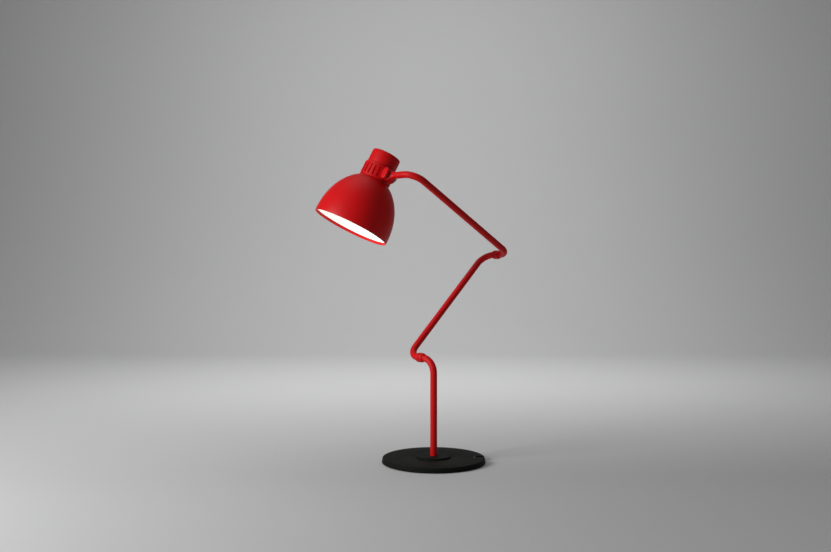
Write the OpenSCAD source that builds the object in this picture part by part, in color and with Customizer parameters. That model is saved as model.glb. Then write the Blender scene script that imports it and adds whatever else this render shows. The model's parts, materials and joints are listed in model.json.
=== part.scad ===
// Architect desk lamp: cast round base, bent post, two C-bent arms on parallel
// hinges, and a dome shade hung from a knuckle on a grooved ring.
// Origin: centre of the underside of the base. +Z is up.
// Hinge axes run along Y. The arms swing in planes parallel to XZ.

/* [Base] */
// Diameter of the cast base at its lower edge
base_d = 210; // [180:1:240]
// Height of the flat top of the base above the table
base_h = 10.5; // [9.5:0.5:14]
// Diameter of the raised hub
hub_d = 70; // [66:1:76]
// Height of the hub above the top of the base
hub_h = 3.5; // [3:0.5:5]
// Direction of the cable outlet in the rim, from +X
outlet_angle = -45; // [-60:1:-30]

/* [Tubes] */
// Outside diameter of the post and arm tubes
tube_d = 14; // [14:0.5:15]
// Wall of the tubes
tube_wall = 1.5; // [1.2:0.1:1.5]
// Centreline radius of every tube bend
bend_r = 30; // [26:1:34]
// Height of the lower hinge axis above the table
post_hinge_h = 210; // [190:1:230]
// Lower arm, hinge axis to hinge axis
lower_len = 325; // [280:1:360]
// Upper arm, hinge axis to head axis
upper_len = 340; // [300:1:380]
// Lower arm, angle above the horizontal
lower_angle = 40.8; // [30:0.1:60]
// Upper arm, angle above the horizontal
upper_angle = 27.7; // [15:0.1:40]

/* [Hinges] */
// Outside diameter of the hinge collars
collar_d = 19.5; // [19:0.5:22]
// Length of one hinge collar
collar_len = 10; // [9:0.5:11]
// Radial running clearance of the hinge sleeves and pins
run_gap = 0.05; // [0.02:0.01:0.1]

/* [Head] */
// Largest diameter of the shade
shade_d = 161; // [150:1:170]
// Height of the dome from its rim to the grooved ring
dome_h = 110; // [108:1:112]
// Outside diameter of the grooved ring
ring_d = 67; // [66:0.5:68]
// Height of the grooved ring
ring_h = 31; // [30:0.5:32]
// Diameter of the top cap
cap_d = 61.6; // [61:0.2:62]
// Height of the top cap
cap_h = 27.5; // [24:0.5:32]
// Number of grooves round the ring, from one side of the knuckle to the other
groove_count = 18; // [14:1:20]
// Turn of the head about the end of the upper arm
head_swivel = 24; // [-100:1:100]
// Tilt of the tube end towards the cap, about the knuckle pin
head_tilt = 13.1; // [0:0.1:50]

/* [Hidden] */
$fn = 64;

red = "#c4161c";
black = "#1c1f1d";
steel = "#b4b6b8";
nylon = "#e8e4da";
cut = 1; // how far a cutting shape runs past the face it opens

tube_r = tube_d / 2;
tube_in = tube_r - tube_wall;
wire_r = 1.6;
wire_bore = 2.2;

// Base, from the table up
pad_h = 1.5;
plate_z = pad_h;
recess_z = 5.2; // roof of the recess under the plate
recess_r = 76;
retainer_t = 1.5;
draft = 1.4; // how much smaller the top edge is than the lower edge
bevel = 0.8;
top_z = base_h + hub_h;
cup_r = 22;
cup_floor = recess_z;
cavity_r = 15.2;
cavity_z = 8.9; // roof of the cavity that the stop ring turns in
bush_r = 9;
bush_top = top_z - 1.2; // the hub's lip covers the bush
stop_ring_r = 12;
stop_lug_r = 14.6;
stop_ring_z = 6;
stop_ring_h = 2.5;
screw_circle = 28;
outlet_w = 16;
outlet_in = 80;
outlet_z = 4.5; // floor of the outlet notch
gland_z = outlet_z + 2.4; // axis of the lead through the gland
post_foot_z = stop_ring_z;

// Hinges: seam plane at zero, parent on the minus side, child on the plus side
seam = 0.3;
web = 3.8;
sleeve_r = 3.6;
sleeve_tail = 8;
straight = 6; // straight tube between a seam and the bend
arm_offset = straight + bend_r; // seam plane to the middle of an arm

// Hinge centres
hinge1 = [0, arm_offset, post_hinge_h];
hinge2 = hinge1 + lower_len * [cos(lower_angle), 0, sin(lower_angle)];
head_end = hinge2 + upper_len * [-cos(upper_angle), 0, sin(upper_angle)] - [0, arm_offset, 0];

// Head joint
swivel_y = 50; // seam between the upper arm and the knuckle
pin_y = 72; // knuckle pin, on the axis of the tube end
spigot_r = 4;
spigot_len = 16.8;
eye_r = 12.6;
eye_half = 7;
washer_t = 0.6;
cheek_in = eye_half + washer_t + run_gap;
cheek_out = cheek_in + 5;
cheek_w = 16;
cheek_l = 25;
cover_t = 3.6;
pin_r = 4;
pin_flange_r = 5.6;
pin_flange_y = -10.2; // inner face of the pin's flange
pin_end_y = -11.3;
wire_turn_y = -13.35; // where the wire runs inwards under the cheek cover

// Head, heights above the rim of the shade
ring_z = dome_h + 0.5;
ring_top = ring_z + ring_h;
ring_r = ring_d / 2;
ring_bore = 29.5;
pin_z = ring_z + ring_h / 2;
pin_x = 38.5; // shade axis to knuckle pin
cap_top = ring_top + cap_h;
cap_r = cap_d / 2;
shade_r = shade_d / 2;
shade_t = 0.9;
waist_z = 8; // height of the widest point of the dome
neck_r = 31;
neck_top = ring_z + 7;
reflector_gap = 0.35;
reflector_t = 0.7;
reflector_edge = 4.5; // how far the white reflector stops short of the rim
reflector_top = 104;
plate_top = ring_top - 0.3;
holder_r = 19.5;
holder_mouth = 96;
holder_top = plate_top - 1.6;
bulb_tip = 131;
bulb_len = 106;
bulb_r = 30;
bulb_neck_r = 13;
bulb_neck_z = bulb_tip - 24; // foot of the screw cap, over the neck of the glass

module ring_solid(r_out, r_in, h) {
    difference() {
        cylinder(r = r_out, h = h);
        translate([0, 0, -cut]) cylinder(r = r_in, h = h + 2 * cut);
    }
}

// A cylinder or ring along Y, from y0 to y1
module y_rod(r, y0, y1) {
    translate([0, y0, 0]) rotate([-90, 0, 0]) cylinder(r = r, h = y1 - y0);
}

module y_ring(r_out, r_in, y0, y1) {
    difference() {
        y_rod(r_out, y0, y1);
        y_rod(r_in, y0 - cut, y1 + cut);
    }
}

// A twelve-sided bar from one point to the next, with ball corners
module bar_path(points, r) {
    $fn = 12;
    for (i = [1 : len(points) - 1]) {
        step = points[i] - points[i - 1];
        length = norm(step);
        turn = acos(step[2] / length);
        heading = atan2(step[1], step[0]);
        translate(points[i - 1]) rotate([0, turn, heading]) cylinder(r = r, h = length);
    }
    for (i = [1 : 1 : len(points) - 2]) translate(points[i]) sphere(r = r);
}

// A quarter bend in the XY plane, turned by start about its centre
module quarter_bend(r, centre, start) {
    translate([centre[0], centre[1], 0]) rotate([0, 0, start])
        rotate_extrude(angle = 90) translate([bend_r, 0]) circle(r = r);
}

// Solid of an arm: hinge axis to hinge axis along X, standing off along Y.
// It begins at y = from and ends at y = to.
module arm_solid(r, length, from, to) {
    y_rod(r, from, straight);
    quarter_bend(r, [bend_r, straight], 90);
    translate([bend_r, arm_offset, 0]) rotate([0, 90, 0]) cylinder(r = r, h = length - 2 * bend_r);
    quarter_bend(r, [length - bend_r, straight], 0);
    translate([length, 0, 0]) y_rod(r, to, straight);
}

// Solid of the post: up from z = from, then round to the hinge seam, ending at y = to
module post_solid(r, from, to) {
    translate([0, 0, from]) cylinder(r = r, h = post_hinge_h - bend_r - from);
    translate([0, 0, post_hinge_h]) y_rod(r, bend_r, to);
    translate([0, 0, post_hinge_h - bend_r]) rotate([90, 0, -90]) quarter_bend(r, [-bend_r, 0], 0);
}

module in_lower_arm() {
    translate(hinge1) rotate([0, -lower_angle, 0]) children();
}

module in_upper_arm() {
    translate(hinge2) rotate([0, upper_angle - 180, 0]) mirror([0, 1, 0]) children();
}

// Knuckle frame: origin on the pin, Y along the tube end, X along the pin
module in_knuckle() {
    translate(head_end + [0, pin_y, 0]) rotate([0, head_swivel, 0]) children();
}

// Head frame: origin at the centre of the rim, Z along the shade, X towards the knuckle
module in_head() {
    in_knuckle() rotate([head_tilt, 0, 0]) rotate([0, 0, -90]) translate([-pin_x, 0, -pin_z]) children();
}

// ---- Base ----

module base_plate() {
    edge_r = base_d / 2;
    top_r = edge_r - draft;
    color(black) difference() {
        rotate_extrude($fn = 128) polygon([
            [0, plate_z], [edge_r - 0.5, plate_z], [edge_r, plate_z + 0.5],
            [top_r, base_h - bevel], [top_r - bevel, base_h], [0, base_h]
        ]);
        translate([0, 0, plate_z - cut]) cylinder(r = recess_r, h = recess_z - plate_z + cut);
        translate([0, 0, -cut]) cylinder(r = cup_r + 0.2, h = base_h + 2 * cut);
        for (a = [90 : 120 : 330]) rotate([0, 0, a]) translate([screw_circle, 0, 0]) cylinder(r = 2.2, h = 20);
        rotate([0, 0, outlet_angle]) {
            translate([outlet_in, -outlet_w / 2, outlet_z]) cube([40, outlet_w, 20]);
            translate([recess_r - 5, -wire_bore, plate_z - cut])
                cube([30, 2 * wire_bore, gland_z + wire_bore - plate_z + cut]);
            for (s = [-1, 1]) translate([62, s * 8, 0]) cylinder(r = 1.5, h = 8.5);
        }
    }
}

module base_pad() {
    color("#2b2b2b") cylinder(r = base_d / 2 - 4, h = pad_h, $fn = 128);
}

module base_hub() {
    color(black) difference() {
        union() {
            rotate_extrude() polygon([
                [0, base_h], [hub_d / 2, base_h], [hub_d / 2, top_z - 1], [hub_d / 2 - 1, top_z], [0, top_z]
            ]);
            translate([0, 0, cup_floor]) cylinder(r = cup_r, h = base_h - cup_floor);
        }
        translate([0, 0, cup_floor - cut]) difference() {
            cylinder(r = cavity_r, h = cavity_z - cup_floor + cut);
            rotate([0, 0, 174]) rotate_extrude(angle = 12) translate([stop_ring_r + 0.4, 0]) square([9, 9]);
        }
        cylinder(r = bush_r, h = bush_top);
        cylinder(r = tube_r + 0.4, h = top_z + cut);
        for (a = [90 : 120 : 330]) rotate([0, 0, a]) translate([screw_circle, 0, 0]) cylinder(r = 2, h = top_z - 1);
    }
}

module hub_screws() {
    head_z = recess_z - retainer_t - 1.3;
    color(steel) for (a = [90 : 120 : 330]) rotate([0, 0, a]) translate([screw_circle, 0, 0]) {
        translate([0, 0, head_z]) difference() {
            cylinder(r = 3.6, h = 1.3);
            translate([0, 0, -cut]) cylinder(r = 1.45, h = 0.7 + cut, $fn = 6);
        }
        translate([0, 0, head_z + 1.3]) cylinder(r = 2, h = top_z - 1.5 - (head_z + 1.3));
    }
}

module retainer_plate() {
    color(steel) difference() {
        translate([0, 0, recess_z - retainer_t]) cylinder(r = 33, h = retainer_t);
        cylinder(r = wire_bore + 1, h = 8);
        rotate([0, 0, outlet_angle]) translate([0, -wire_bore, 0]) cube([40, 2 * wire_bore, 8]);
        for (a = [90 : 120 : 330]) rotate([0, 0, a]) translate([screw_circle, 0, 0]) cylinder(r = 2, h = 8);
    }
}

module post_bush() {
    color(nylon) translate([0, 0, cavity_z]) ring_solid(bush_r, tube_r + run_gap, bush_top - cavity_z);
}

module thrust_washer() {
    color(nylon) translate([0, 0, recess_z]) ring_solid(stop_ring_r, wire_bore + 1, post_foot_z - 0.05 - recess_z);
}

// Rubber gland that fills the inner half of the outlet, with its hole along the rim direction
module cable_gland() {
    color("#151515") rotate([0, 0, outlet_angle]) difference() {
        union() {
            translate([outlet_in + 0.1, -outlet_w / 2 + 0.1, outlet_z + 0.05])
                cube([5, outlet_w - 0.2, base_h - outlet_z - 0.4]);
            translate([outlet_in + 5, 0, gland_z]) rotate([0, 90, 0]) cylinder(r = 2.35, h = 12);
        }
        translate([outlet_in - cut, 0, gland_z]) rotate([0, 90, 0]) cylinder(r = wire_r, h = 30);
    }
}

module cord_clamp() {
    color(nylon) rotate([0, 0, outlet_angle]) difference() {
        translate([58, -11, 1.7]) cube([8, 22, recess_z - 1.8]);
        translate([57, -wire_r - 0.05, 1]) cube([10, 2 * wire_r + 0.1, 5]);
        for (s = [-1, 1]) translate([62, s * 8, 0]) cylinder(r = 1.5, h = 8.5);
    }
}

module clamp_screws() {
    color(steel) rotate([0, 0, outlet_angle]) for (s = [-1, 1]) translate([62, s * 8, 1.8]) cylinder(r = 1.5, h = 6);
}

// Inside lead: in through the gland, along the recess and up to the foot of the post
module base_wire() {
    low = pad_h + wire_r + 0.1;
    color("#303030") rotate([0, 0, outlet_angle]) bar_path([
        [outlet_in + 14, 0, gland_z], [outlet_in - 2, 0, gland_z],
        [outlet_in - 8, 0, low], [0, 0, low], [0, 0, post_foot_z]
    ], wire_r);
}

// ---- Post ----

module post_tube() {
    color(red) difference() {
        post_solid(tube_r, post_foot_z, arm_offset - web);
        post_solid(tube_in, post_foot_z - cut, arm_offset - web + cut);
    }
}

module post_stop_ring() {
    color(steel) translate([0, 0, stop_ring_z]) difference() {
        union() {
            cylinder(r = stop_ring_r, h = stop_ring_h);
            rotate([0, 0, -8]) rotate_extrude(angle = 16) translate([stop_ring_r - 2, 0]) square([stop_lug_r - stop_ring_r + 2, stop_ring_h]);
        }
        translate([0, 0, -cut]) cylinder(r = tube_r, h = stop_ring_h + 2 * cut);
    }
}

// Blank of a hinge collar on the plus side of the seam, with its sleeve bore
module collar_blank(bore_r) {
    collar_r = collar_d / 2;
    rotate([-90, 0, 0]) rotate_extrude() polygon([
        [bore_r, seam], [collar_r - 0.4, seam], [collar_r, seam + 0.4],
        [collar_r, collar_len - 1], [collar_r - 1, collar_len], [bore_r, collar_len]
    ]);
}

module post_collar() {
    color(red) difference() {
        translate(hinge1) mirror([0, 1, 0]) collar_blank(sleeve_r + run_gap);
        post_solid(tube_r, post_foot_z, arm_offset - web);
    }
}

module post_wire() {
    color("#303030") post_solid(wire_r, post_foot_z, arm_offset);
}

// ---- Hinge hardware, drawn at a seam ----

// Hollow sleeve that ties two collars together: a flange in the child, a thread in the parent
module hinge_sleeve() {
    color(steel) difference() {
        union() {
            y_rod(sleeve_r, -sleeve_tail, web + 1.5);
            y_rod(5, web, web + 1.5);
        }
        y_rod(wire_bore, -sleeve_tail - cut, web + 1.5 + cut);
    }
}

module hinge_washer() {
    color("#232323") y_ring(collar_d / 2 - 0.7, sleeve_r, -seam + 0.02, seam);
}

module hinge_spring() {
    color(steel) y_ring(5, sleeve_r, -web - 0.7, -web - 0.05);
}

module hinge_nut() {
    color(steel) difference() {
        translate([0, -web - 3.5, 0]) rotate([-90, 0, 0]) cylinder(r = 5.1, h = 2.8, $fn = 6);
        y_rod(sleeve_r, -web - 5, -web + 1);
    }
}

// ---- Lower arm ----

module lower_arm_tube() {
    color(red) in_lower_arm() difference() {
        arm_solid(tube_r, lower_len, web, web);
        arm_solid(tube_in, lower_len, web - cut, web - cut);
    }
}

module lower_arm_near_collar() {
    color(red) in_lower_arm() difference() {
        collar_blank(sleeve_r);
        arm_solid(tube_r, lower_len, web, web);
    }
}

module lower_arm_far_collar() {
    color(red) in_lower_arm() difference() {
        translate([lower_len, 0, 0]) collar_blank(sleeve_r + run_gap);
        arm_solid(tube_r, lower_len, web, web);
    }
}

module lower_hinge_sleeve() { in_lower_arm() hinge_sleeve(); }
module lower_hinge_washer() { in_lower_arm() hinge_washer(); }
module lower_hinge_spring() { in_lower_arm() hinge_spring(); }
module lower_hinge_nut() { in_lower_arm() hinge_nut(); }

module lower_arm_wire() {
    color("#303030") in_lower_arm() arm_solid(wire_r, lower_len, 0, 0);
}

// ---- Upper arm ----

module upper_arm_tube() {
    color(red) in_upper_arm() difference() {
        arm_solid(tube_r, upper_len, web, arm_offset - swivel_y);
        arm_solid(tube_in, upper_len, web - cut, arm_offset - swivel_y - cut);
    }
}

module upper_arm_collar() {
    color(red) in_upper_arm() difference() {
        collar_blank(sleeve_r);
        arm_solid(tube_r, upper_len, web, web);
    }
}

module upper_hinge_sleeve() { in_upper_arm() hinge_sleeve(); }
module upper_hinge_washer() { in_upper_arm() hinge_washer(); }
module upper_hinge_spring() { in_upper_arm() hinge_spring(); }
module upper_hinge_nut() { in_upper_arm() hinge_nut(); }

module upper_arm_wire() {
    color("#303030") in_upper_arm() arm_solid(wire_r, upper_len, 0, arm_offset - swivel_y);
}

// Plain bush in the end of the upper arm, which the knuckle's spigot turns in
module head_bush() {
    color(nylon) translate(head_end) y_ring(tube_in, spigot_r + run_gap, swivel_y - 14, swivel_y);
}

// ---- Knuckle ----

module knuckle() {
    shank_end = swivel_y - pin_y + 0.3;
    clip_y = shank_end - 15.9;
    color(red) in_knuckle() difference() {
        union() {
            hull() {
                translate([0, shank_end + 3, 0]) rotate([-90, 0, 0]) cylinder(r = tube_r, h = 1, $fn = 32);
                rotate([0, 90, 0]) cylinder(r = eye_r - 1.2, h = 2 * eye_half - 1.6, center = true, $fn = 32);
            }
            rotate([0, 90, 0]) rotate_extrude() polygon([
                [0, -eye_half], [eye_r - 1, -eye_half], [eye_r, 1 - eye_half],
                [eye_r, eye_half - 1], [eye_r - 1, eye_half], [0, eye_half]
            ]);
            y_rod(tube_r, shank_end, shank_end + 3.5);
            y_rod(spigot_r, shank_end - spigot_len, shank_end + 1);
        }
        rotate([0, 90, 0]) cylinder(r = pin_r, h = 30, center = true);
        y_rod(wire_bore, shank_end - spigot_len - cut, 0);
        y_ring(spigot_r + cut, 3.4, clip_y, clip_y + 1.2);
    }
}

module swivel_clip() {
    clip_y = swivel_y - pin_y + 0.3 - 15.9;
    color(steel) in_knuckle() y_ring(5.1, 3.4, clip_y + 0.1, clip_y + 1.1);
}

// In the head frame's Y, which is the knuckle frame's X
module knuckle_pin() {
    color(steel) in_knuckle() difference() {
        rotate([0, 90, 0]) union() {
            translate([0, 0, pin_flange_y]) cylinder(r = pin_r, h = cheek_out - 0.1 - pin_flange_y);
            translate([0, 0, pin_end_y]) cylinder(r = pin_flange_r, h = pin_flange_y - pin_end_y);
        }
        translate([wire_bore, 0, 0]) rotate([0, -90, 0]) cylinder(r = wire_bore, h = 20);
        y_rod(wire_bore, -10, 0);
        translate([5, 0, 0]) rotate([0, 90, 0]) cylinder(r = 2.5, h = 20);
    }
}

module knuckle_washers() {
    color("#232323") in_knuckle() for (s = [0, 1]) mirror([s, 0, 0])
        translate([eye_half, 0, 0]) rotate([0, 90, 0]) ring_solid(eye_r - 1.5, pin_r, washer_t);
}

module tension_screw() {
    color(steel) in_knuckle() rotate([0, 90, 0]) difference() {
        union() {
            translate([0, 0, 6]) cylinder(r = 2.5, h = cheek_out - 5);
            translate([0, 0, cheek_out + 1]) cylinder(r = 6, h = 3);
        }
        translate([0, 0, cheek_out + 2.2]) cylinder(r = 2.3, h = 5, $fn = 6);
    }
}

module tension_spring() {
    color(steel) in_knuckle() rotate([0, 90, 0])
        translate([0, 0, cheek_out + 0.1]) ring_solid(5.6, 2.5, 0.9);
}

module knuckle_wire() {
    color("#303030") in_knuckle()
        bar_path([[0, swivel_y - pin_y, 0], [0, 0, 0], [pin_end_y, 0, 0]], wire_r);
}

// ---- Head ----

// Stadium plate in the XZ plane, lengthways along Z, from y0 to y1
module stadium(width, length, y0, y1) {
    for (s = [-1, 1]) translate([0, 0, s * (length - width) / 2]) y_rod(width / 2, y0, y1);
    translate([-width / 2, y0, (width - length) / 2]) cube([width, y1 - y0, length - width]);
}

module head_ring() {
    groove_w = 3.6;
    groove_deep = 2.4;
    first = 37; // angle from the knuckle to the first groove on either side
    pitch = (360 - 2 * first) / (groove_count - 1);
    color(red) in_head() difference() {
        union() {
            rotate_extrude($fn = 96) polygon([
                [ring_bore, ring_z], [ring_r - 0.6, ring_z], [ring_r, ring_z + 0.6],
                [ring_r, ring_top - 3], [cap_r + 0.3, ring_top], [ring_bore, ring_top]
            ]);
            for (s = [0, 1]) mirror([0, s, 0]) {
                translate([pin_x, 0, pin_z]) stadium(cheek_w, cheek_l, cheek_in, cheek_out);
                translate([ring_bore - 3, cheek_in, pin_z - cheek_l / 2 + 2]) cube([9, cheek_out - cheek_in, cheek_l - 4]);
                translate([0, ring_bore - 4, plate_top - 12]) cylinder(r = 4.6, h = 10.4);
            }
        }
        // counterbore for the shade's neck, and rebate for the cap
        translate([0, 0, ring_z - cut]) cylinder(r = neck_r, h = 7 + cut);
        translate([0, 0, ring_top - 2]) cylinder(r = 30, h = 4);
        // window for the eye of the knuckle
        translate([pin_x - 18, -cheek_in, pin_z - eye_r - 0.8]) cube([13, 2 * cheek_in, 2 * eye_r + 1.6]);
        translate([pin_x, 0, pin_z]) {
            y_rod(pin_r + run_gap, -20, 20);
            y_rod(pin_flange_r + 0.3, -20, pin_flange_y + 0.05);
        }
        // channel of the wire under the cheek cover
        translate([ring_bore - 9, wire_turn_y, pin_z]) rotate([0, 90, 0]) cylinder(r = wire_bore, h = pin_x - ring_bore + 9);
        for (i = [0 : groove_count - 1]) rotate([0, 0, first + i * pitch])
            translate([ring_r - groove_deep, -groove_w / 2, ring_z + 3.5]) cube([8, groove_w, ring_h - 10]);
        for (s = [-1, 1]) translate([0, s * (ring_bore - 4), plate_top - 10]) cylinder(r = 1.5, h = 12);
    }
}

module cheek_cover() {
    color(red) in_head() difference() {
        translate([pin_x, 0, pin_z]) {
            stadium(cheek_w, cheek_l, -cheek_out - cover_t + 0.8, -cheek_out);
            stadium(cheek_w - 1.6, cheek_l - 1.6, -cheek_out - cover_t, -cheek_out - cover_t + 0.8);
        }
        translate([10, wire_turn_y, pin_z]) rotate([0, 90, 0]) cylinder(r = wire_bore, h = pin_x - 10);
        translate([pin_x, 0, pin_z]) y_rod(wire_bore, wire_turn_y, 0);
        translate([pin_x, wire_turn_y, pin_z]) sphere(r = wire_bore, $fn = 32);
        cylinder(r = ring_r, h = 200);
    }
}

// Radius of the dome at height z, a depth t inside its outer face: a half ellipse
// above the waist, and a slight inward lean from the waist to the rim
dome_b = dome_h - 0.5;
function dome_r(z, t) = z < waist_z
    ? shade_r - t - 0.4 * (waist_z - z) / waist_z
    : (shade_r - t) * sqrt(1 - pow((z - waist_z) / (dome_b - t), 2));
// Height at which that face has radius r
function dome_z(r, t) = waist_z + (dome_b - t) * sqrt(1 - pow(r / (shade_r - t), 2));
// Points of that face between z0 and z1, closer together towards the top
function dome_line(z0, z1, t, n) = [
    for (i = [0 : n]) let (z = z0 + (z1 - z0) * sin(90 * i / n)) [dome_r(z, t), z]
];
function backwards(list) = [for (i = [len(list) - 1 : -1 : 0]) list[i]];

module shade() {
    neck_in = neck_r - 1.2;
    outer = dome_line(0, dome_z(neck_r, 0), 0, 28);
    inner = dome_line(0, dome_z(neck_in, shade_t), shade_t, 28);
    color(red) in_head() difference() {
        rotate_extrude($fn = 128) polygon(concat(
            outer, [[neck_r, neck_top], [neck_in, neck_top]], backwards(inner)
        ));
        translate([pin_x - 18, -cheek_in, pin_z - eye_r - 0.8]) cube([30, 2 * cheek_in, 30]);
    }
}

module reflector() {
    inset = shade_t + reflector_gap;
    outer = dome_line(reflector_edge, reflector_top, inset, 24);
    inner = dome_line(reflector_edge, reflector_top, inset + reflector_t, 24);
    color("white") in_head() rotate_extrude($fn = 128) polygon(concat(outer, backwards(inner)));
}

module top_cap() {
    edge = 2.5;
    arc = [for (i = [0 : 6]) [cap_r - edge + edge * cos(15 * i), cap_top - edge + edge * sin(15 * i)]];
    color(red) in_head() rotate_extrude($fn = 96) polygon(concat(
        [[28.6, ring_top - 2], [30, ring_top - 2], [30, ring_top], [cap_r, ring_top]],
        arc, [[0, cap_top], [0, cap_top - 1.6], [28.6, cap_top - 1.6]]
    ));
}

module holder_plate() {
    color(steel) in_head() difference() {
        translate([0, 0, holder_top]) cylinder(r = 28.3, h = plate_top - holder_top);
        translate([0, 0, 100]) cylinder(r = 5, h = 60);
        translate([ring_bore - 9, wire_turn_y, 100]) cylinder(r = 3, h = 60);
        for (s = [-1, 1]) translate([0, s * (ring_bore - 4), 100]) cylinder(r = 1.6, h = 60);
        for (a = [-60, -30, 30, 60]) rotate([0, 0, 180 + a]) translate([18, 0, 100]) cylinder(r = 3, h = 60);
    }
}

module holder_screws() {
    color(steel) in_head() for (s = [-1, 1]) translate([0, s * (ring_bore - 4), 0]) {
        translate([0, 0, plate_top - 9]) cylinder(r = 1.5, h = 9);
        translate([0, 0, plate_top]) cylinder(r = 2.6, h = 1.6);
    }
}

// Screw-in lamp holder: a ribbed skirt, open downwards, with a hollow nipple on top
module lamp_holder() {
    color("#1a1a1a") in_head() difference() {
        union() {
            rotate_extrude() polygon([
                [0, holder_mouth], [holder_r, holder_mouth], [holder_r, holder_mouth + 26],
                [holder_r - 3, holder_mouth + 29], [holder_r - 3, holder_top - 2], [holder_r - 5, holder_top], [0, holder_top]
            ]);
            for (a = [0 : 15 : 345]) rotate([0, 0, a]) translate([holder_r - 0.4, -0.8, holder_mouth + 3]) cube([1.2, 1.6, 20]);
            translate([0, 0, holder_top - 1]) cylinder(r = 5, h = 8);
        }
        translate([0, 0, holder_mouth - cut]) cylinder(r = 14.6, h = bulb_tip + 1.4 - holder_mouth + cut);
        translate([0, 0, bulb_tip]) cylinder(r = wire_bore, h = 40);
    }
}

module holder_contacts() {
    color("#c9a24a") in_head() {
        translate([0, 0, holder_mouth + 6]) ring_solid(14.6, 14, 26);
        translate([0, 0, bulb_tip + 0.1]) cylinder(r = 5, h = 1.2);
    }
}

module holder_nut() {
    color(steel) in_head() translate([0, 0, plate_top]) difference() {
        cylinder(r = 8.5, h = 3.2, $fn = 6);
        translate([0, 0, -cut]) cylinder(r = 5, h = 3.2 + 2 * cut);
    }
}

// Bulb: a round globe that runs down into a neck, standing mouth up in the cap
module bulb_glass() {
    globe_z = bulb_tip - bulb_len + bulb_r;
    shoulder_z = bulb_neck_z - 8;
    globe = [for (a = [-90 : 6 : 30]) [bulb_r * cos(a), globe_z + bulb_r * sin(a)]];
    from = globe[len(globe) - 1];
    curve = [for (i = [1 : 12]) let (k = i / 12, e = (1 - cos(180 * k)) / 2)
        [from[0] + (bulb_neck_r - from[0]) * e, from[1] + (shoulder_z - from[1]) * k]];
    color([1, 1, 0.95, 0.6]) in_head() rotate_extrude() polygon(concat(
        globe, curve, [[bulb_neck_r, bulb_neck_z + 4], [0, bulb_neck_z + 4]]
    ));
}

module bulb_cap() {
    threads = [for (i = [0 : 13]) [i % 2 == 0 ? 13.8 : 13.1, bulb_neck_z + 4 + i * 1.1]];
    color(steel) in_head() difference() {
        rotate_extrude() polygon(concat(
            [[0, bulb_neck_z], [13.4, bulb_neck_z]], threads, [[9, bulb_tip - 3], [4.5, bulb_tip - 1.5], [4.5, bulb_tip], [0, bulb_tip]]
        ));
        translate([0, 0, bulb_neck_z - cut]) cylinder(r = bulb_neck_r, h = 4 + cut);
    }
}

module head_wire() {
    side = ring_bore - 9;
    over = plate_top + 10;
    color("#303030") in_head() bar_path([
        [pin_x, pin_end_y, pin_z], [pin_x, wire_turn_y, pin_z], [side, wire_turn_y, pin_z],
        [side, wire_turn_y, over], [0, 0, over], [0, 0, bulb_tip + 1.4]
    ], wire_r);
}

base_plate();
base_pad();
base_hub();
hub_screws();
retainer_plate();
post_bush();
thrust_washer();
cable_gland();
cord_clamp();
clamp_screws();
base_wire();
post_tube();
post_stop_ring();
post_collar();
post_wire();
lower_arm_tube();
lower_arm_near_collar();
lower_arm_far_collar();
lower_hinge_sleeve();
lower_hinge_washer();
lower_hinge_spring();
lower_hinge_nut();
lower_arm_wire();
upper_arm_tube();
upper_arm_collar();
upper_hinge_sleeve();
upper_hinge_washer();
upper_hinge_spring();
upper_hinge_nut();
upper_arm_wire();
head_bush();
knuckle();
swivel_clip();
knuckle_pin();
knuckle_washers();
tension_screw();
tension_spring();
knuckle_wire();
head_ring();
cheek_cover();
shade();
reflector();
top_cap();
holder_plate();
holder_screws();
lamp_holder();
holder_contacts();
holder_nut();
bulb_glass();
bulb_cap();
head_wire();
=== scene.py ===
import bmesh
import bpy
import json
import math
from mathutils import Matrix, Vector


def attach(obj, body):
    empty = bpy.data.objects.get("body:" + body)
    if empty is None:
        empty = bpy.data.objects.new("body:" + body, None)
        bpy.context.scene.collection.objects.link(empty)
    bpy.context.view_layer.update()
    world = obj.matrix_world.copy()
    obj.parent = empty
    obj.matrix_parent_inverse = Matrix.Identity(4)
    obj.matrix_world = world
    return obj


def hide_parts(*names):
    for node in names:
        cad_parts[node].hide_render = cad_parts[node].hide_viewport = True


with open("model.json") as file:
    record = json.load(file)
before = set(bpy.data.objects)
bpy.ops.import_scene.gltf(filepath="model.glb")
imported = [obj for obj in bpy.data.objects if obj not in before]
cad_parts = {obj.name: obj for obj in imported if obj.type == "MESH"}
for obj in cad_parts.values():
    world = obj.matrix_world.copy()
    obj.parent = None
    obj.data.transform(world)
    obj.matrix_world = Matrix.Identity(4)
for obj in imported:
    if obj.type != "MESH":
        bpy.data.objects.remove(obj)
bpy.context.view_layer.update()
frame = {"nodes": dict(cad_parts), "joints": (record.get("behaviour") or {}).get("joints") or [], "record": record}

# %% [markdown]
# # Architect desk lamp
# A red tube lamp on a heavy black base. Three bent tubes turn on each other in collars, and a dome
# shade hangs from a knuckle at the end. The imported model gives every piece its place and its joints.
# This lesson adds the looks: the finishes, and finer meshes for the pieces that the eye rests on.
# Everything is in metres, in the model's own frame: +Z up, +Y along the hinge axes, and +X the way
# that the lower arm leans.

MM = 0.001
nodes = frame["nodes"]
joints = {joint["name"]: joint for joint in frame["joints"]}

# %% [markdown]
# ## Camera
# The lamp is seen from two metres away, from about the height of the upper hinge, with the arms
# crossing the view at 46 degrees. A place, a heading and a lens are all that a camera needs, so they
# are plain values. There is no depth of field, because the other views move this same camera.

# %% Camera
CAMERA_PLACE = (-1.3729, -1.2701, 0.4027)
CAMERA_HEADING = -46.1
CAMERA_DOWN = 0.77
CAMERA_LENS = 40.07

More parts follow.
